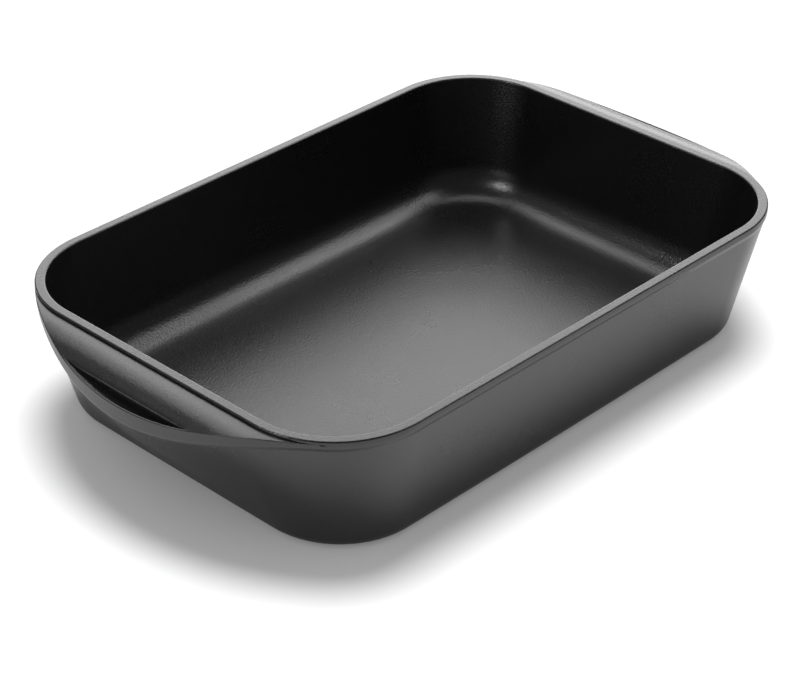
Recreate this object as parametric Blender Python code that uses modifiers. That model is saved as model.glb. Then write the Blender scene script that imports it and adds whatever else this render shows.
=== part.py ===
"""Cast roasting pan with a wing handle at each end.

Metres, +Z up. The pan rests on z = 0 with its long axis along X, and the origin is under its middle.
The body is one casting. A non-stick lining covers the cooking side and wraps over the rim. An outer coat
starts under the rim and covers the wings' tops, pockets, lips and undersides and the outer walls.
"""
from math import acos, asin, atan2, cos, hypot, pi, radians, sin, sqrt, tan

import bmesh
import bpy

# Cavity, measured at the inner edge of the rim and at the floor.
INSIDE_LENGTH = 0.350
INSIDE_WIDTH = 0.240
INSIDE_CORNER = 0.049
CORNER_TAPER = 0.003
END_DRAFT = radians(9.7)
SIDE_DRAFT = radians(7.5)
FLOOR_ROUND = 0.015

# Body.
HEIGHT = 0.074
FLOOR_THICKNESS = 0.004
WALL = 0.003
BASE_ROUND = 0.0085

# Rim. The lining ends at a fine step under it, and a bead runs on below the step.
RIM_WIDTH = 0.0055
RIM_EDGE = 0.0010
STEP_UNDER_RIM = 0.0018
BEAD_HEIGHT = 0.0038
BEAD_SLOPE = 0.8

# Wings. The bead leaves the corners as one arc and becomes the lip, which dips towards its middle.
WING_REACH = 0.0245
LIP_LOWEST = 0.0189
LIP_EDGE = 0.0010
LIP_CHAMFER = 0.0005

# Top of a wing. It leaves the rim level, bends over and falls at a steady slope to the lip's top edge.
STEP_INSET = 0.0005
CROWN_RADIUS = 0.036
CROWN_FALL = radians(26)
CROWN_FADE = 3 * LIP_EDGE

# Grip pocket, a crescent between a straight edge along the wing's top and the curve of the lip.
POCKET_START = 0.0224
POCKET_DRAFT = radians(8)
LIP_LEAN = radians(20)
POCKET_ROUND = 0.0018
POCKET_ROUND_SHARE = 0.6

# Coats, thicker than the real ones so that they are solids, and the gap between two pieces.
COAT = 0.0005
GAP = 0.0003
COAT_END = radians(82)

# How finely the curves are drawn, in segments.
END_SEGMENTS = 7
WING_CORNER_SEGMENTS = 5
FREE_CORNER_SEGMENTS = 5
FLOOR_ROUND_SEGMENTS = 6
BASE_ROUND_SEGMENTS = 5
CROWN_SEGMENTS = 4
POCKET_SEGMENTS = 4
WALL_SEGMENTS = 3

# Points this near are one point, a quad this near to flat is left whole, and edges this sharp stay sharp.
SAME_POINT = 0.000001
FLAT_ENOUGH = 0.00001
SHARP_EDGE = radians(35)

# Worked out from the sizes above.
HALF_LENGTH = INSIDE_LENGTH / 2
HALF_WIDTH = INSIDE_WIDTH / 2
RIM_CORNER = INSIDE_CORNER + RIM_WIDTH
CORNER_X = HALF_LENGTH - INSIDE_CORNER
CORNER_Y = HALF_WIDTH - INSIDE_CORNER
METAL = COAT + GAP

# The lip's arc, in plan, touches the arc of the rim's corners.
LIP_X = HALF_LENGTH + RIM_WIDTH + WING_REACH
LIP_RADIUS = (((LIP_X - CORNER_X) ** 2 + CORNER_Y ** 2 - RIM_CORNER ** 2)
              / (2 * (LIP_X - CORNER_X - RIM_CORNER)))
LIP_CENTRE = LIP_X - LIP_RADIUS
LIP_END = atan2(CORNER_Y, CORNER_X - LIP_CENTRE)


def clear_scene():
    for thing in list(bpy.data.objects):
        bpy.data.objects.remove(thing, do_unlink=True)


def steps(first, last, count):
    """The values after first, up to and including last."""
    return [first + (last - first) * (k + 1) / count for k in range(count)]


# A station is a place on the quarter outline, from the middle of the end round to the middle of the side:
# a share of the straight end, an angle round the corner, or a share of the straight side.
STATIONS = [("end", share) for share in [0.0] + steps(0, 1, END_SEGMENTS)]
STATIONS += [("corner", angle) for angle in steps(0, LIP_END, WING_CORNER_SEGMENTS)]
STATIONS += [("corner", angle) for angle in steps(LIP_END, pi / 2, FREE_CORNER_SEGMENTS)]
STATIONS += [("side", 1.0)]


def on_outline(station, half_length, half_width, radius):
    """The point of a station on a rounded rectangle."""
    kind, value = station
    if kind == "end":
        return half_length, (half_width - radius) * value
    if kind == "corner":
        return half_length - radius + radius * cos(value), half_width - radius + radius * sin(value)
    return (half_length - radius) * (1 - value), half_width


def on_rim(station, out, depth):
    """A point at a distance out from the inner edge of the rim and at a depth under its top."""
    x, y = on_outline(station, HALF_LENGTH + out, HALF_WIDTH + out, INSIDE_CORNER + out)
    return x, y, HEIGHT - depth


def on_wall(station, depth, out):
    """A point at a depth under the rim's top, out from the inner face of the drafted wall."""
    half_length = HALF_LENGTH - tan(END_DRAFT) * depth + out / cos(END_DRAFT)
    half_width = HALF_WIDTH - tan(SIDE_DRAFT) * depth + out / cos(SIDE_DRAFT)
    radius = INSIDE_CORNER - CORNER_TAPER * depth / HEIGHT + out
    x, y = on_outline(station, half_length, half_width, radius)
    return x, y, HEIGHT - depth


def rounded_foot(top, centre, radius, lowest, segments):
    """A wall that falls straight from its top point and turns inward round part of a circle.

    The wall touches the circle, and lowest is the angle where the round ends: 90 degrees is straight down.
    """
    across = hypot(top[0] - centre[0], top[1] - centre[1])
    rise = top[2] - centre[2]
    touch = acos(radius / hypot(across, rise)) - atan2(rise, across)
    points = [top]
    for angle in [touch] + steps(touch, lowest, segments):
        share = radius * cos(angle) / across
        points.append((centre[0] + (top[0] - centre[0]) * share,
                       centre[1] + (top[1] - centre[1]) * share,
                       centre[2] - radius * sin(angle)))
    return points


def inner_face(station, back):
    """The cooking side from the rim's edge down to the floor, set back into the metal."""
    edge = RIM_EDGE + back * tan(pi / 8)
    depth = HEIGHT - FLOOR_THICKNESS - FLOOR_ROUND
    centre = on_wall(station, depth, -FLOOR_ROUND)
    top = on_wall(station, edge, back)
    face = rounded_foot(top, centre, FLOOR_ROUND + back, pi / 2, FLOOR_ROUND_SEGMENTS)
    return [on_rim(station, edge, back)] + face


def wing(station):
    """How far the lip stands out from the rim, and a share: 1 in the wing's middle, 0 at its ends."""
    kind, value = station
    if kind == "side" or (kind == "corner" and value >= LIP_END):
        return 0.0, 0.0
    turn = value if kind == "corner" else 0.0
    x, y, z = on_rim(station, RIM_WIDTH, 0)
    x -= LIP_CENTRE
    along = x * cos(turn) + y * sin(turn)
    reach = sqrt(LIP_RADIUS ** 2 - x ** 2 - y ** 2 + along ** 2) - along
    angle = atan2(y + reach * sin(turn), x + reach * cos(turn))
    return reach, 1 - angle / LIP_END


def dip(share):
    """A smooth rise from 0 at the wing's ends to 1 in its middle."""
    return sin(pi / 2 * share) ** 2


def bead(station):
    """The bead's or lip's lower edge and the corner where its underside meets the wall, as out and depth."""
    reach, share = wing(station)
    overhang = RIM_WIDTH - WALL
    overhang += (LIP_CHAMFER - overhang) * dip(share)
    edge = BEAD_HEIGHT + (LIP_LOWEST - BEAD_HEIGHT) * dip(share)
    out = RIM_WIDTH + reach
    return (out, edge), (out - overhang, edge + overhang * BEAD_SLOPE)


def base_centre(station):
    """The centre of the round between the wall and the base."""
    return on_wall(station, HEIGHT - BASE_ROUND, WALL - BASE_ROUND)


def wall_lean(station):
    """The angle from upright at which the outside runs down from the bead or lip to the base."""
    out, depth = bead(station)[1]
    top = on_rim(station, out, depth)
    centre = base_centre(station)
    across = hypot(top[0] - centre[0], top[1] - centre[1])
    rise = top[2] - centre[2]
    return atan2(across, rise) - asin(BASE_ROUND / hypot(across, rise))


def crown(out, start, back):
    """How deep the top of a wing lies at a distance out, set back; it starts to bend at the start."""
    radius = CROWN_RADIUS - back
    bend = radius * sin(CROWN_FALL)
    across = min(max(out - start, 0), bend)
    slope = max(out - start - bend, 0) * tan(CROWN_FALL)
    return STEP_UNDER_RIM + GAP + CROWN_RADIUS - sqrt(radius ** 2 - across ** 2) + slope


def pocket(edge, inner, start, back):
    """The pocket as out and depth: down its pan side, round its bottom and up inside the lip, set back."""
    edge_depth = crown(edge, start, 0)
    inner_depth = crown(inner, start, 0)
    # Its two sides meet at a point below its bottom, and a circle rounds them off.
    lean = tan(POCKET_DRAFT) + tan(LIP_LEAN)
    meet = (inner - edge + edge_depth * tan(POCKET_DRAFT) + inner_depth * tan(LIP_LEAN)) / lean
    half = (POCKET_DRAFT + LIP_LEAN) / 2
    radius = min(POCKET_ROUND, POCKET_ROUND_SHARE * (meet - inner_depth) * tan(half))
    run = radius / tan(half)
    touch = meet - run * cos(POCKET_DRAFT)
    touch_out = edge + (touch - edge_depth) * tan(POCKET_DRAFT)
    centre = (touch_out + radius * cos(POCKET_DRAFT), touch - radius * sin(POCKET_DRAFT))
    brink = edge - back / cos(POCKET_DRAFT)
    brink += (crown(brink, start, back) - edge_depth) * tan(POCKET_DRAFT)
    points = [(brink, crown(brink, start, back))]
    first = pi - POCKET_DRAFT
    for angle in [first] + steps(first, LIP_LEAN, POCKET_SEGMENTS):
        points.append((centre[0] + (radius + back) * cos(angle), centre[1] + (radius + back) * sin(angle)))
    return points


def wing_top(station, back):
    """The top of a wing as out and depth: the bend, the pocket and the lip's top edge, set back."""
    reach = wing(station)[0]
    if reach < LIP_EDGE / 2:
        return [(RIM_WIDTH - back, STEP_UNDER_RIM + GAP)] * (CROWN_SEGMENTS + POCKET_SEGMENTS + 5)
    lip = RIM_WIDTH + reach
    start = RIM_WIDTH - STEP_INSET * min(1.0, reach / CROWN_FADE)
    inner = max(lip - LIP_EDGE, start)
    furthest = lip - back
    bend = min(start + (CROWN_RADIUS - back) * sin(CROWN_FALL), inner, furthest)
    nearest = min(start, RIM_WIDTH - back)
    points = [(out, crown(out, start, back)) for out in [nearest] + steps(nearest, bend, CROWN_SEGMENTS)]
    if inner - POCKET_START < LIP_EDGE / 2:
        edge = min(inner, furthest)
        points += [(edge, crown(edge, start, back))] * (POCKET_SEGMENTS + 3)
        return points + [(furthest, crown(furthest, start, back))]
    points += pocket(POCKET_START, inner, start, back)
    # The inside of the lip runs up to the wing's top, or to the lip's outside where that comes first.
    out, depth = points[-1]
    edge = out + (depth - crown(inner, start, back)) * tan(LIP_LEAN)
    if edge < furthest:
        return points + [(edge, crown(edge, start, back)), (furthest, crown(furthest, start, back))]
    return points + [(furthest, depth - (furthest - out) / tan(LIP_LEAN))] * 2


def outside(station, back, lowest):
    """The outside from the step under the rim to the round of the base, set back into the metal."""
    points = [on_rim(station, out, depth) for out, depth in wing_top(station, back)]
    (edge_out, edge_depth), (foot_out, foot_depth) = bead(station)
    lean = wall_lean(station)
    skew = hypot(1, BEAD_SLOPE)
    inward = back * (1 / cos(lean) - skew * tan(lean)) / (1 - BEAD_SLOPE * tan(lean))
    points.append(on_rim(station, edge_out - back, edge_depth - back * (skew - BEAD_SLOPE)))
    foot = on_rim(station, foot_out - inward, foot_depth + BEAD_SLOPE * inward - skew * back)
    face = rounded_foot(foot, base_centre(station), BASE_ROUND - back, lowest, BASE_ROUND_SEGMENTS)
    points.append(foot)
    for share in steps(0, 1, WALL_SEGMENTS)[:-1]:
        points.append(tuple(top + (low - top) * share for top, low in zip(foot, face[1])))
    return points + face[1:]


def all_round(quarter):
    """A closed ring from the points of a quarter, mirrored into the other three."""
    ring = list(quarter)
    ring += [(-x, y, z) for x, y, z in reversed(quarter[:-1])]
    ring += [(-x, -y, z) for x, y, z in quarter[1:]]
    ring += [(x, -y, z) for x, y, z in reversed(quarter[1:-1])]
    return ring


def split_twisted(shape):
    """Cuts each quad that is not flat, from its upper corner nearer the end, so that set-back faces match."""
    shape.normal_update()
    for face in list(shape.faces):
        if len(face.verts) != 4:
            continue
        middle = face.calc_center_median()
        if max(abs((corner.co - middle).dot(face.normal)) for corner in face.verts) < FLAT_ENOUGH:
            continue
        upper = sorted(face.verts, key=lambda corner: corner.co.z)[2:]
        first = max(upper, key=lambda corner: (round(abs(corner.co.x), 6), corner.co.z))
        corners = list(face.verts)
        second = corners[(corners.index(first) + 2) % 4]
        bmesh.utils.face_split(face, first, second)


def loft(name, sections, top=False, bottom=False, wrapped=False):
    """A surface through one section a station, closed by flat faces or wrapped back to its first ring."""
    shape = bmesh.new()
    rings = []
    for row in zip(*sections):
        rings.append([shape.verts.new(point) for point in all_round(row)])
    pairs = list(zip(rings, rings[1:]))
    if wrapped:
        pairs.append((rings[-1], rings[0]))
    for upper, lower in pairs:
        for k in range(len(upper)):
            after = (k + 1) % len(upper)
            shape.faces.new((upper[k], upper[after], lower[after], lower[k]))
    if top:
        shape.faces.new(rings[0])
    if bottom:
        shape.faces.new(list(reversed(rings[-1])))
    bmesh.ops.remove_doubles(shape, verts=shape.verts, dist=SAME_POINT)
    split_twisted(shape)
    bmesh.ops.recalc_face_normals(shape, faces=shape.faces)
    mesh = bpy.data.meshes.new(name)
    shape.to_mesh(mesh)
    shape.free()
    mesh.shade_smooth()
    mesh.set_sharp_from_angle(angle=SHARP_EDGE)
    return bpy.data.objects.new(name, mesh)


def face_up(thing):
    """Turns an open surface so that its largest face, the floor, looks up."""
    floor = max(thing.data.polygons, key=lambda face: face.area)
    if floor.normal.z < 0:
        thing.data.flip_normals()


def finish(thing, name, colour, roughness, metallic):
    material = bpy.data.materials.new(name)
    material.use_nodes = True
    shader = material.node_tree.nodes["Principled BSDF"]
    shader.inputs["Base Color"].default_value = (*colour, 1)
    shader.inputs["Roughness"].default_value = roughness
    shader.inputs["Metallic"].default_value = metallic
    material.diffuse_color = (*colour, 1)
    thing.data.materials.append(material)


def pan_casting():
    """The metal body: floor, walls, rim, bead and both wings, with the flat face that the pan rests on."""
    pad = (BASE_ROUND - COAT) * cos(COAT_END) - GAP
    lowest = acos(pad / (BASE_ROUND - METAL))
    sections = []
    for station in STATIONS:
        inside = list(reversed(inner_face(station, METAL)))
        rim = [on_rim(station, RIM_WIDTH - RIM_EDGE, METAL), on_rim(station, RIM_WIDTH - METAL, RIM_EDGE)]
        outer = outside(station, METAL, lowest)
        x, y, z = outer[-1]
        sections.append(inside + rim + outer + [(x, y, 0.0)])
    return loft("pan_casting", sections, top=True, bottom=True)


def interior_coating():
    """The non-stick lining: floor, walls, the rim's top and its rounded outer edge."""
    sections = []
    for station in STATIONS:
        rim = [on_rim(station, RIM_WIDTH, STEP_UNDER_RIM)]
        for angle in (0, pi / 4, pi / 2):
            rim.append(on_rim(station, RIM_WIDTH - RIM_EDGE * (1 - cos(angle)), RIM_EDGE * (1 - sin(angle))))
        sections.append(rim + inner_face(station, 0))
    lining = loft("interior_coating", sections, bottom=True)
    face_up(lining)
    thicken = lining.modifiers.new("coat thickness", "SOLIDIFY")
    thicken.thickness = COAT
    thicken.offset = -1
    thicken.use_even_offset = True
    return lining


def exterior_coating():
    """The outer coat, a closed band from the step under the rim down to the round of the base."""
    sections = []
    for station in STATIONS:
        front = outside(station, 0, COAT_END)
        rear = outside(station, COAT, COAT_END)
        sections.append(front + list(reversed(rear)))
    return loft("exterior_coating", sections, wrapped=True)


def main():
    clear_scene()
    parts = bpy.data.collections.new("roasting_pan")
    bpy.context.scene.collection.children.link(parts)
    casting = pan_casting()
    lining = interior_coating()
    outer = exterior_coating()
    finish(casting, "cast aluminium", (0.30, 0.30, 0.31), 0.5, 1.0)
    finish(lining, "non-stick lining", (0.035, 0.035, 0.035), 0.4, 0.0)
    finish(outer, "outer coat", (0.045, 0.045, 0.045), 0.45, 0.0)
    for thing in (casting, lining, outer):
        parts.objects.link(thing)


main()
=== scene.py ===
from math import acos, atan2, cos, hypot, pi, radians, sin, sqrt, tan

import bmesh
import bpy
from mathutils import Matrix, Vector


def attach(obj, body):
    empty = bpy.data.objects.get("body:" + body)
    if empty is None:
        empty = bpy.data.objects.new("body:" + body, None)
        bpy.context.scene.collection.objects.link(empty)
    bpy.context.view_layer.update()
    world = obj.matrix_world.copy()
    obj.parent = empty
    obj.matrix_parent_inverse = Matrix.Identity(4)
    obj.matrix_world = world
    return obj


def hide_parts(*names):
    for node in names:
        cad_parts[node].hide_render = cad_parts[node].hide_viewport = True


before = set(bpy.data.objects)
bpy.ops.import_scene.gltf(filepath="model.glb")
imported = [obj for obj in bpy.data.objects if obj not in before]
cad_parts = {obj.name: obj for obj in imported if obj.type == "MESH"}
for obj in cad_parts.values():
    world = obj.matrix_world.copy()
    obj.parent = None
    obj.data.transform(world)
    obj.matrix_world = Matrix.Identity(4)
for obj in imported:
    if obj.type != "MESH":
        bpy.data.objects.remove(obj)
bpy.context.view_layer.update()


# The casting: one piece of gravity-cast aluminium with floor, walls, rim and both wings. Only its base is
# left bare, milled flat after casting so that the pan stands steady, and the coats hide all the rest.

BARE_METAL = (0.56, 0.56, 0.55, 1)
MILLED_METAL = (0.66, 0.66, 0.65, 1)
MILLING_PITCH = 0.0012
MILLING_DEPTH = 0.00004
RING_SCALE = 0.32 / MILLING_PITCH
CAST_GRAIN = 0.0009
METAL_DRIFT = 0.03
METAL_ROUGHNESS = 0.28


class Wire:
    """An output socket that can be used in sums; each sum adds its node to the material."""

    def __init__(self, tree, socket=None):
        self.tree = tree
        self.socket = socket

    def node(self, kind, settings=None, inputs=None, outlet=0):
        made = self.tree.nodes.new(kind)
        for name, value in (settings or {}).items():
            setattr(made, name, value)
        for key, value in (inputs or {}).items():
            if isinstance(value, Wire):
                self.tree.links.new(value.socket, made.inputs[key])
            else:
                made.inputs[key].default_value = value
        return Wire(self.tree, made.outputs[outlet]) if made.outputs else None

    def math(self, operation, *values):
        return self.node("ShaderNodeMath", {"operation": operation}, dict(enumerate(values)))

    def __add__(self, other):
        return self.math("ADD", self, other)

    def __radd__(self, other):
        return self.math("ADD", other, self)

    def __sub__(self, other):
        return self.math("SUBTRACT", self, other)

    def __rsub__(self, other):
        return self.math("SUBTRACT", other, self)

    def __mul__(self, other):
        return self.math("MULTIPLY", self, other)

    def __rmul__(self, other):
        return self.math("MULTIPLY", other, self)

    def ramp(self, low, high):
        """0 up to low, 1 from high on, and smooth between the two."""
        return self.node("ShaderNodeMapRange", {"interpolation_type": "SMOOTHSTEP"},
                         {"Value": self, "From Min": low, "From Max": high})

    def mix(self, first, second):
        """The first colour where this is 0 and the second where it is 1."""
        return self.node("ShaderNodeMix", {"data_type": "RGBA"}, {0: self, 6: first, 7: second}, 2)

    def noise(self, place, size, detail=2.0, roughness=0.5):
        """Smooth cloudy noise whose blotches are about this size in metres."""
        return self.node("ShaderNodeTexNoise", {"noise_dimensions": "3D"},
                         {"Vector": place, "Scale": 1 / size, "Detail": detail, "Roughness": roughness})


def new_material(name, **constants):
    """A material, its shader and a wire to begin its sums with; the constants go on the shader itself."""
    material = bpy.data.materials.new(name)
    material.use_nodes = True
    tree = material.node_tree
    shader = tree.nodes["Principled BSDF"]
    for key, value in constants.items():
        shader.inputs[key.replace("_", " ")].default_value = value
    return material, shader, Wire(tree)


def feed(shader, **wires):
    """Runs each wire to the shader's socket of the same name."""
    for key, wire in wires.items():
        wire.tree.links.new(wire.socket, shader.inputs[key.replace("_", " ")])


def milled_metal():
    material, shader, wire = new_material("milled base", Metallic=1.0)
    place = wire.node("ShaderNodeTexCoord", outlet="Object")
    grain = wire.noise(place, CAST_GRAIN)
    drift = wire.noise(place, METAL_DRIFT)
    lines = wire.node("ShaderNodeTexWave", {"wave_type": "RINGS", "rings_direction": "Z"},
                      {"Vector": place, "Scale": RING_SCALE, "Distortion": 0.4, "Detail": 2.0}, "Fac")
    colour = (lines * 0.6 + grain * 0.4).mix(BARE_METAL, MILLED_METAL)
    height = lines * 0.7 + grain * 0.3
    bump = wire.node("ShaderNodeBump", inputs={"Height": height, "Strength": 0.35, "Distance": MILLING_DEPTH})
    feed(shader, Base_Color=colour, Roughness=METAL_ROUGHNESS + drift * 0.14 + grain * 0.06, Normal=bump)
    return material


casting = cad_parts["pan_casting"]
casting_finish = milled_metal()
for slot in casting.material_slots:
    slot.material = casting_finish


# The lining: a black non-stick coat, sprayed and baked over the cooking side, the rim's flat top and its
# rounded outer edge, where it ends at a fine masked step. The orange peel and flecks of the spray show.

INSIDE_LENGTH = 0.350
INSIDE_WIDTH = 0.240
INSIDE_CORNER = 0.049
CORNER_TAPER = 0.003
END_DRAFT = radians(9.7)
SIDE_DRAFT = radians(7.5)
HEIGHT = 0.074
FLOOR_THICKNESS = 0.004
RIM_WIDTH = 0.0055
STEP_UNDER_RIM = 0.0018
STEP_DEPTH = 0.0006
FLOOR_BORDER = 0.030

# A round is a radius and the number of segments that its arc has.
FLOOR_ROUND = (0.025, 20)
RIM_INNER_ROUND = (0.0012, 8)
RIM_OUTER_ROUND = (0.0009, 8)
STEP_ROUND = (0.00006, 3)
NO_ROUND = (0, 0)

HALF_LENGTH = INSIDE_LENGTH / 2
HALF_WIDTH = INSIDE_WIDTH / 2

WING_REACH = 0.0245
RIM_CORNER = INSIDE_CORNER + RIM_WIDTH
CORNER_X = HALF_LENGTH - INSIDE_CORNER
CORNER_Y = HALF_WIDTH - INSIDE_CORNER
LIP_X = HALF_LENGTH + RIM_WIDTH + WING_REACH
LIP_RADIUS = (((LIP_X - CORNER_X) ** 2 + CORNER_Y ** 2 - RIM_CORNER ** 2)
              / (2 * (LIP_X - CORNER_X - RIM_CORNER)))
LIP_CENTRE = LIP_X - LIP_RADIUS
LIP_END = atan2(CORNER_Y, CORNER_X - LIP_CENTRE)

END_STATIONS = 16
WING_STATIONS = 24
CORNER_STATIONS = 18
SIDE_STATIONS = 8

# A corner this near to the next one, or with this small a turn, isn't rounded. An arc takes at most this
# share of the flat beside it, and the hold point stands off by this share of what the arc takes.
SAME_PLACE = 1e-7
STRAIGHT = 0.002
ARC_SHARE = 0.6
HOLD_SHARE = 0.1

MERGE_WITHIN = 0.000001
SHARP_EDGE = radians(50)

LINING_BLACK = (0.0050, 0.0050, 0.0051, 1)
LINING_FLECK = (0.040, 0.039, 0.038, 1)
LINING_PEEL = 0.00016
COAT_IOR = 1.65
COAT_ROUGHNESS = 0.25
PEEL_SIZE = 0.0013
RIPPLE_SIZE = 0.007
RIPPLE_DEPTH = 0.00002
DRIFT_SIZE = 0.045
FLECK_SIZE = 0.0005
FLECK_START = 0.62
FLECK_FULL = 0.74


def steps(first, last, count):
    """The values after first, up to and including last."""
    return [first + (last - first) * (k + 1) / count for k in range(count)]


# A station is a place on the quarter outline, from the middle of the end round to the middle of the side.
STATIONS = [("end", share) for share in [0.0] + steps(0, 1, END_STATIONS)]
STATIONS += [("corner", angle) for angle in steps(0, LIP_END, WING_STATIONS)]
STATIONS += [("corner", angle) for angle in steps(LIP_END, pi / 2, CORNER_STATIONS)]
STATIONS += [("side", share) for share in steps(0, 1, SIDE_STATIONS)]


def on_outline(station, half_length, half_width, radius):
    """The point of a station on a rounded rectangle."""
    kind, value = station
    if kind == "end":
        return half_length, (half_width - radius) * value
    if kind == "corner":
        return half_length - radius + radius * cos(value), half_width - radius + radius * sin(value)
    return (half_length - radius) * (1 - value), half_width


def on_rim(station, out, depth):
    """A point at a distance out from the rim's inner edge and at a depth under its top."""
    x, y = on_outline(station, HALF_LENGTH + out, HALF_WIDTH + out, INSIDE_CORNER + out)
    return Vector((x, y, HEIGHT - depth))


def on_wall(station, depth, out):
    """A point at a depth under the rim's top, out from the inner face of the drafted wall."""
    half_length = HALF_LENGTH - tan(END_DRAFT) * depth + out / cos(END_DRAFT)
    half_width = HALF_WIDTH - tan(SIDE_DRAFT) * depth + out / cos(SIDE_DRAFT)
    radius = INSIDE_CORNER - CORNER_TAPER * depth / HEIGHT + out
    x, y = on_outline(station, half_length, half_width, radius)
    return Vector((x, y, HEIGHT - depth))


def rounded(corners):
    """A path through corners, each given as a point, its radius and its number of segments.

    A hold point stands before and after each arc, so that the flats beside it stay flat when shaded.
    """
    path = [corners[0][0]]
    for (before, _, _), (corner, radius, segments), (after, _, _) in zip(corners, corners[1:], corners[2:]):
        back = before - corner
        ahead = after - corner
        met = min(back.length, ahead.length) < SAME_PLACE
        turn = 0 if met else pi - back.angle(ahead)
        if turn < STRAIGHT:
            path += [corner] * (segments + 3)
            continue
        reach = min(radius * tan(turn / 2), ARC_SHARE * back.length, ARC_SHARE * ahead.length)
        fitted = reach / tan(turn / 2)
        back.normalize()
        ahead.normalize()
        centre = corner + (back + ahead).normalized() * (fitted / cos(turn / 2))
        start = corner + back * reach
        across = (start - centre).normalized()
        hold = min(fitted * turn / segments, HOLD_SHARE * reach)
        path.append(start + back * hold)
        for k in range(segments + 1):
            angle = turn * k / segments
            path.append(centre + (across * cos(angle) - back * sin(angle)) * fitted)
        path.append(corner + ahead * (reach + hold))
    path.append(corners[-1][0])
    return path


def all_round(quarter):
    """A closed ring from the points of a quarter, mirrored into the other three."""
    ring = list(quarter)
    ring += [Vector((-p.x, p.y, p.z)) for p in reversed(quarter[:-1])]
    ring += [Vector((-p.x, -p.y, p.z)) for p in quarter[1:]]
    ring += [Vector((p.x, -p.y, p.z)) for p in reversed(quarter[1:-1])]
    return ring


def loft(name, sections, floor=False):
    """A smooth surface through one section a station, with a flat floor inside its last ring if asked."""
    shape = bmesh.new()
    rings = [[shape.verts.new(point) for point in all_round(row)] for row in zip(*sections)]
    for upper, lower in zip(rings, rings[1:]):
        for k in range(len(upper)):
            after = (k + 1) % len(upper)
            shape.faces.new((upper[k], upper[after], lower[after], lower[k]))
    if floor:
        shape.faces.new(rings[-1])
    bmesh.ops.remove_doubles(shape, verts=shape.verts, dist=MERGE_WITHIN)
    bmesh.ops.recalc_face_normals(shape, faces=shape.faces)
    mesh = bpy.data.meshes.new(name)
    shape.to_mesh(mesh)
    shape.free()
    mesh.shade_smooth()
    mesh.set_sharp_from_angle(angle=SHARP_EDGE)
    piece = bpy.data.objects.new(name, mesh)
    bpy.context.scene.collection.objects.link(piece)
    return piece


def lining_section(station):
    foot = on_wall(station, HEIGHT - FLOOR_THICKNESS, 0)
    inner = on_wall(station, HEIGHT - FLOOR_THICKNESS, -FLOOR_BORDER)
    return rounded([(on_rim(station, RIM_WIDTH - STEP_DEPTH, STEP_UNDER_RIM), *NO_ROUND),
                    (on_rim(station, RIM_WIDTH, STEP_UNDER_RIM), *STEP_ROUND),
                    (on_rim(station, RIM_WIDTH, 0), *RIM_OUTER_ROUND),
                    (on_rim(station, 0, 0), *RIM_INNER_ROUND),
                    (foot, *FLOOR_ROUND),
                    (inner, *NO_ROUND)])


def sprayed_coat(name, black, fleck, peel):
    """A baked black coat: fine peel, a slower ripple from the cast skin, and pale flecks in the film."""
    material, shader, wire = new_material(name, IOR=COAT_IOR)
    place = wire.node("ShaderNodeTexCoord", outlet="Object")
    peel_height = wire.noise(place, PEEL_SIZE, 2.0, 0.6)
    ripple_height = wire.noise(place, RIPPLE_SIZE, 2.0, 0.4)
    flecks = wire.noise(place, FLECK_SIZE, 1.0, 0.5).ramp(FLECK_START, FLECK_FULL)
    drift = wire.noise(place, DRIFT_SIZE, 3.0, 0.5)
    colour = flecks.mix(black, fleck)
    fine = wire.node("ShaderNodeBump", inputs={"Height": peel_height, "Strength": 1.0, "Distance": peel})
    both = wire.node("ShaderNodeBump", inputs={"Height": ripple_height, "Strength": 1.0,
                                               "Distance": RIPPLE_DEPTH, "Normal": fine})
    feed(shader, Base_Color=colour, Roughness=COAT_ROUGHNESS + drift * 0.06 + flecks * 0.05, Normal=both)
    return material


lining = loft("lining", [lining_section(station) for station in STATIONS], floor=True)
if max(lining.data.polygons, key=lambda face: face.area).normal.z < 0:
    lining.data.flip_normals()
lining.data.materials.append(sprayed_coat("non-stick lining", LINING_BLACK, LINING_FLECK, LINING_PEEL))
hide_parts("interior_coating")
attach(lining, "root")


# The outer coat: the same black coat, sprayed over the walls, the bead and both wings. It starts under the
# rim at the masked step, lines the grip pockets under the wings' lips, and stops at the round of the base.

WALL = 0.003
BASE_ROUND = 0.0085
BEAD_HEIGHT = 0.0038
BEAD_OVERHANG = 0.0011
BEAD_SLOPE = 2.2
LIP_LOWEST = 0.0189
LIP_TOP = 0.0009
LIP_CHAMFER = 0.0005
LIP_LEAN = radians(20)
STEP_INSET = 0.0005
STEP_FADE = 0.0030
CROWN_RADIUS = 0.031
CROWN_FALL = radians(27)
POCKET_START = 0.0230
POCKET_DRAFT = radians(8)
SEAM = 0.00002
COAT = 0.0005
COAT_END = radians(82)

SHOULDER_ROUND = (0.0028, 10)
POCKET_ROUND = (0.0018, 12)
LIP_ROUND = (0.0005, 5)
CREASE_ROUND = (0.0030, 6)
FOOT_ROUND = (0.0060, 6)
CROWN_SEGMENTS = 16
WALL_ROWS = 8
BASE_SEGMENTS = 12

OUTER_BLACK = (0.011, 0.011, 0.0112, 1)
OUTER_FLECK = (0.048, 0.047, 0.046, 1)
OUTER_PEEL = 0.00007


def wing(station):
    """How far the lip stands out from the rim, and a share: 1 in the wing's middle, 0 at its ends."""
    kind, value = station
    if kind == "side" or (kind == "corner" and value >= LIP_END):
        return 0.0, 0.0
    turn = value if kind == "corner" else 0.0
    edge = on_rim(station, RIM_WIDTH, 0)
    x = edge.x - LIP_CENTRE
    along = x * cos(turn) + edge.y * sin(turn)
    reach = sqrt(LIP_RADIUS ** 2 - x ** 2 - edge.y ** 2 + along ** 2) - along
    angle = atan2(edge.y + reach * sin(turn), x + reach * cos(turn))
    return reach, 1 - angle / LIP_END


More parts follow.
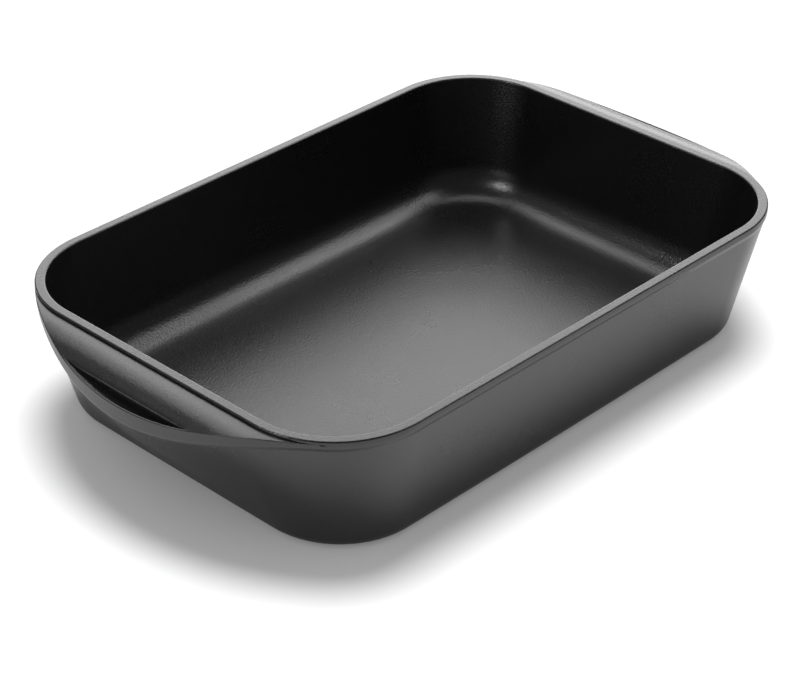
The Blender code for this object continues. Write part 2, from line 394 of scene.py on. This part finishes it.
def dip(share):
    """A smooth rise from 0 at the wing's ends to 1 in its middle."""
    return sin(pi / 2 * share) ** 2


def bead(station):
    """The bead's or lip's lower edge and the corner where its underside meets the wall, as out and depth."""
    reach, share = wing(station)
    overhang = BEAD_OVERHANG + (LIP_CHAMFER - BEAD_OVERHANG) * dip(share)
    edge = BEAD_HEIGHT + (LIP_LOWEST - BEAD_HEIGHT) * dip(share)
    out = RIM_WIDTH + reach
    return (out, edge), (out - overhang, edge + overhang * BEAD_SLOPE)


def crown(out, start):
    """How deep a wing's top lies: it leaves the rim level, bends over and then falls at a steady slope."""
    bend = CROWN_RADIUS * sin(CROWN_FALL)
    across = min(max(out - start, 0), bend)
    fall = CROWN_RADIUS - sqrt(CROWN_RADIUS ** 2 - across ** 2)
    return STEP_UNDER_RIM + SEAM + fall + max(out - start - bend, 0) * tan(CROWN_FALL)


def wing_top(station):
    """A wing's top as out and depth: its bend, the pocket's edge, foot and far edge, then the lip.

    The fade falls from 1 to 0 where the wing runs out into the bead, and the step's inset falls with it.
    """
    reach, _ = wing(station)
    lip = RIM_WIDTH + reach
    fade = min(1.0, reach / STEP_FADE)
    start = RIM_WIDTH - STEP_INSET * fade
    inner = max(lip - LIP_TOP, start)
    bend = min(start + CROWN_RADIUS * sin(CROWN_FALL), inner)
    shoulder = min(max(POCKET_START, bend), inner)
    top = crown(shoulder, start)
    side = crown(inner, start)
    near_lean = tan(POCKET_DRAFT)
    far_lean = tan(LIP_LEAN)
    foot = (inner - shoulder + side * far_lean + top * near_lean) / (far_lean + near_lean)
    bent = [(out, crown(out, start)) for out in [start] + steps(start, bend, CROWN_SEGMENTS)]
    pocket = [(shoulder, top), (shoulder + (foot - top) * near_lean, foot), (inner, side)]
    return bent, pocket, (lip, crown(lip, start)), fade


def shell_section(station):
    bent, (shoulder, foot, lip_top), lip_side, fade = wing_top(station)
    lip_round = (LIP_ROUND[0] * fade, LIP_ROUND[1])
    (edge_out, edge_depth), (ledge_out, ledge_depth) = bead(station)
    base = on_wall(station, HEIGHT - BASE_ROUND, WALL - BASE_ROUND)
    ledge = on_rim(station, ledge_out, ledge_depth)
    across = hypot(ledge.x - base.x, ledge.y - base.y)
    rise = ledge.z - base.z
    inward = Vector(((base.x - ledge.x) / across, (base.y - ledge.y) / across, 0))
    # The wall touches the round of the base at this angle from level.
    touch = acos(BASE_ROUND / hypot(across, rise)) - atan2(rise, across)
    foot_of_wall = base + (-inward * cos(touch) - Vector((0, 0, sin(touch)))) * BASE_ROUND
    path = [on_rim(station, out, depth) for out, depth in bent[:-1]]
    path.insert(0, on_rim(station, bent[0][0] - STEP_DEPTH, bent[0][1]))
    path += rounded([(on_rim(station, *bent[-1]), *NO_ROUND),
                     (on_rim(station, *shoulder), *SHOULDER_ROUND),
                     (on_rim(station, *foot), *POCKET_ROUND),
                     (on_rim(station, *lip_top), *lip_round),
                     (on_rim(station, *lip_side), *lip_round),
                     (on_rim(station, edge_out, edge_depth), *CREASE_ROUND),
                     (ledge, *FOOT_ROUND),
                     (foot_of_wall, *NO_ROUND)])
    path.pop()
    top_of_wall = path[-1]
    path += [top_of_wall.lerp(foot_of_wall, share) for share in steps(0, 1, WALL_ROWS)]
    for angle in steps(touch, COAT_END, BASE_SEGMENTS):
        path.append(base + (-inward * cos(angle) - Vector((0, 0, sin(angle)))) * BASE_ROUND)
    path.append(base + (-inward * cos(COAT_END) - Vector((0, 0, sin(COAT_END)))) * (BASE_ROUND - COAT))
    return path


outer_coat = loft("outer_coat", [shell_section(station) for station in STATIONS])
outer_coat.data.materials.append(sprayed_coat("outer coat", OUTER_BLACK, OUTER_FLECK, OUTER_PEEL))
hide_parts("exterior_coating")
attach(outer_coat, "root")


# The studio floor: matt white board under the pan and far past it. The camera sees it as white, with a
# little glow of its own, and the pan's own soft shadow stays on it.

BOARD_RADIUS = 6.0
BOARD_EDGES = 96
BOARD_WHITE = (0.89, 0.89, 0.89, 1)
BOARD_DIMMER = (0.87, 0.87, 0.87, 1)
BOARD_TOOTH = 0.0015
BOARD_GLOW = 0.12
WHITE = (1, 1, 1, 1)


def floor_board():
    shape = bmesh.new()
    bmesh.ops.create_circle(shape, cap_ends=True, segments=BOARD_EDGES, radius=BOARD_RADIUS)
    mesh = bpy.data.meshes.new("floor")
    shape.to_mesh(mesh)
    shape.free()
    board = bpy.data.objects.new("floor", mesh)
    bpy.context.scene.collection.objects.link(board)
    material = bpy.data.materials.new("white board")
    material.use_nodes = True
    tree = material.node_tree
    tree.nodes.clear()
    wire = Wire(tree)
    place = wire.node("ShaderNodeTexCoord", outlet="Object")
    tooth = wire.noise(place, BOARD_TOOTH)
    colour = tooth.mix(BOARD_DIMMER, BOARD_WHITE)
    matt = wire.node("ShaderNodeBsdfDiffuse", inputs={"Color": colour})
    seen = wire.node("ShaderNodeLightPath", outlet="Is Camera Ray")
    glow = wire.node("ShaderNodeEmission", inputs={"Color": WHITE, "Strength": seen * BOARD_GLOW})
    both = wire.node("ShaderNodeAddShader", inputs={0: matt, 1: glow})
    wire.node("ShaderNodeOutputMaterial", inputs={"Surface": both})
    board.data.materials.append(material)
    return board


floor_board()


# The light: a soft high key from behind, which lights the floor and leaves the pan's shadow, in a surround
# that the camera sees as white. Panels and one small lamp show in the gloss of the coats alone, where the
# surround is dim, as in a dark studio.

MIDDLE = Vector((0, 0, 0.05))
SEEN_STRENGTH = 1.0
FILL_STRENGTH = 0.40
GLOSS_STRENGTH = 0.11
KEY_BREADTH = radians(26)
KEY_STRENGTH = 2.65


def surround():
    world = bpy.data.worlds.new("surround")
    bpy.context.scene.world = world
    world.use_nodes = True
    tree = world.node_tree
    tree.nodes.clear()
    wire = Wire(tree)
    camera = wire.node("ShaderNodeLightPath", outlet="Is Camera Ray")
    gloss = wire.node("ShaderNodeLightPath", outlet="Is Glossy Ray")
    through = wire.node("ShaderNodeLightPath", outlet="Is Transmission Ray")
    behind, fill, shine = (wire.node("ShaderNodeBackground", inputs={"Color": WHITE, "Strength": strength})
                           for strength in (SEEN_STRENGTH, FILL_STRENGTH, GLOSS_STRENGTH))
    lit = wire.node("ShaderNodeMixShader", inputs={0: gloss, 1: fill, 2: shine})
    straight = camera.math("MAXIMUM", camera, through)
    shown = wire.node("ShaderNodeMixShader", inputs={0: straight, 1: lit, 2: behind})
    wire.node("ShaderNodeOutputWorld", inputs={"Surface": shown})


def hang(name, light, azimuth, elevation, distance=0.0):
    """Hangs a light at a distance from the pan and turns it there; azimuth runs from +X towards +Y."""
    towards = Vector((cos(elevation) * cos(azimuth), cos(elevation) * sin(azimuth), sin(elevation)))
    lamp = bpy.data.objects.new(name, light)
    lamp.location = MIDDLE + towards * distance
    lamp.rotation_euler = (-towards).to_track_quat("-Z", "Y").to_euler()
    bpy.context.scene.collection.objects.link(lamp)
    return lamp


def key_light(azimuth, elevation):
    """Broad soft light from one side, the same all over the floor; it leaves no highlight in the gloss."""
    light = bpy.data.lights.new("key", "SUN")
    light.angle = KEY_BREADTH
    light.energy = KEY_STRENGTH
    hang("key", light, azimuth, elevation).visible_glossy = False


def panel(name, azimuth, elevation, distance, width, height, brightness):
    """A soft panel that faces the pan and shows in the gloss alone."""
    light = bpy.data.lights.new(name, "AREA")
    light.shape = "RECTANGLE"
    light.size = width
    light.size_y = height
    light.energy = brightness * pi * width * height
    lamp = hang(name, light, azimuth, elevation, distance)
    lamp.visible_camera = False
    lamp.visible_diffuse = False


surround()
key_light(azimuth=radians(36), elevation=radians(75))
panel("panel_back_low", azimuth=radians(44), elevation=radians(15), distance=1.6,
      width=1.7, height=0.70, brightness=3.4)
panel("panel_back_high", azimuth=radians(46), elevation=radians(40), distance=1.6,
      width=1.5, height=0.65, brightness=2.5)
panel("panel_back", azimuth=radians(84), elevation=radians(52), distance=1.5,
      width=0.60, height=0.40, brightness=2.5)
panel("panel_right", azimuth=radians(-8), elevation=radians(51), distance=1.5,
      width=1.0, height=0.42, brightness=3.4)
panel("panel_top", azimuth=radians(44), elevation=radians(66), distance=1.5,
      width=0.75, height=0.26, brightness=3.6)
panel("panel_left", azimuth=radians(172), elevation=radians(11), distance=1.6,
      width=0.8, height=0.4, brightness=1.6)
panel("lamp_left", azimuth=radians(158), elevation=radians(48), distance=1.6,
      width=0.14, height=0.09, brightness=120.0)


# The camera, at the photograph's angle: a long lens to the left of the pan, 32 degrees above the table.

AZIMUTH = radians(-45.99)
ELEVATION = radians(32.03)
DISTANCE = 1.1478
TARGET = Vector((-0.0831, -0.0717, HEIGHT))
LENS = 105.9
SENSOR = 36.0

back = Vector((sin(AZIMUTH) * cos(ELEVATION), -cos(AZIMUTH) * cos(ELEVATION), sin(ELEVATION)))
lens = bpy.data.cameras.new("camera")
lens.sensor_width = SENSOR
lens.lens = LENS
lens.clip_start = 0.01
lens.clip_end = 50
camera = bpy.data.objects.new("camera", lens)
camera.location = TARGET + back * DISTANCE
camera.rotation_euler = (-back).to_track_quat("-Z", "Y").to_euler()
bpy.context.scene.collection.objects.link(camera)
bpy.context.scene.camera = camera
bpy.context.scene.view_settings.view_transform = "Standard"
